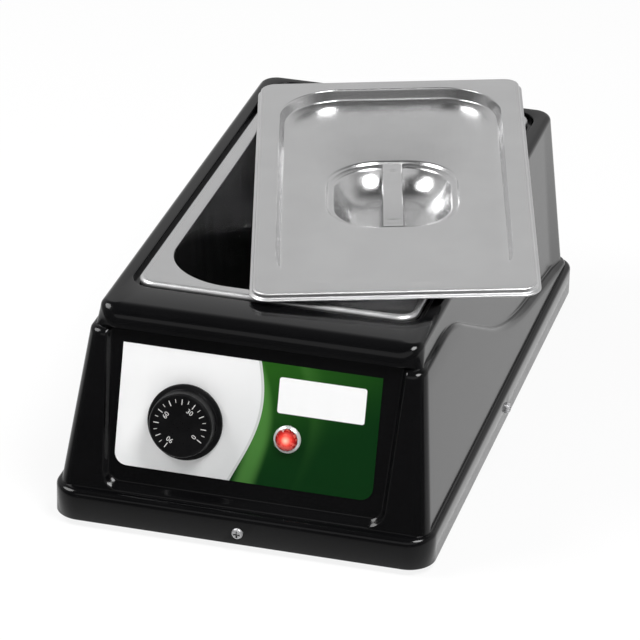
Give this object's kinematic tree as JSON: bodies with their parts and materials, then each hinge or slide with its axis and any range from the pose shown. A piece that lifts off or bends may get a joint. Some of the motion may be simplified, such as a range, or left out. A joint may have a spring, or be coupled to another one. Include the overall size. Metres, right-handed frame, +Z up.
{
  "type": "chocolate melting tank",
  "caption": "Countertop chocolate melting tank: stepped glossy black housing, steel pan sunk in its top, pressed steel lid laid askew, sloping panel with temperature knob and pilot lamp.",
  "frame": {"origin": "on the table under the middle of the base lip", "axes": "+Z up, +Y towards the back, +X to the right as seen from the control panel"},
  "size_m": [0.2777, 0.4248, 0.1491],
  "materials": {
    "shell": "glossy black formed plastic",
    "pan_steel": "satin pressed stainless steel",
    "lid_steel": "satin pressed stainless steel",
    "well_steel": "plain stainless sheet",
    "plate_steel": "zinc-grey coated sheet",
    "screws": "nickel-plated",
    "foot_rubber": "matt black",
    "label": "printed film, white and green",
    "knob_black": "satin black",
    "chrome": "polished",
    "lens_red": "clear red",
    "lamp_white": "white",
    "stat_cream": "cream moulding",
    "copper": "copper",
    "silicone": "orange silicone",
    "cutout_black": "black",
    "gland_black": "black",
    "wire_red": "sleeved leads"
  },
  "bodies": {
    "base": {"housing": "shell", "bottom_plate": "plate_steel", "feet": "foot_rubber", "foot_screws": "screws", "foot_nuts": "screws", "skirt_screws": "screws", "heating_well": "well_steel", "well_screws": "screws", "heater_mat": "silicone", "thermal_cutout": "cutout_black", "thermostat_body": "stat_cream", "thermostat_screws": "screws", "thermostat_bulb": "copper", "capillary_tube": "copper", "bulb_clip": "screws", "control_label": "label", "pilot_lamp_bezel": "chrome", "pilot_lamp_lens": "lens_red", "pilot_lamp_body": "lamp_white", "pilot_lamp_nut": "screws", "cable_gland": "gland_black", "gland_nut": "gland_black", "terminal_block": "lamp_white", "earth_stud": "screws", "internal_wiring": "wire_red"},
    "knob": {"thermostat_shaft": "screws", "knob": "knob_black"},
    "pan": {"pan": "pan_steel"},
    "lid": {"lid": "lid_steel", "lid_handle": "lid_steel"}
  },
  "joints": [
    {"name": "knob_turn", "type": "hinge", "parent": "base", "child": "knob", "pos_m": [-0.04, -0.18426, 0.06978], "axis": [0, -0.9659, 0.2588], "range_deg": [-149, 121]},
    {"name": "pan_lift", "type": "slide", "parent": "base", "child": "pan", "axis": [0, 0, 1], "range_m": [0, 0.15]},
    {"name": "lid_lift", "type": "slide", "parent": "pan", "child": "lid", "axis": [0, 0, 1], "range_m": [0, 0.12]}
  ]
}
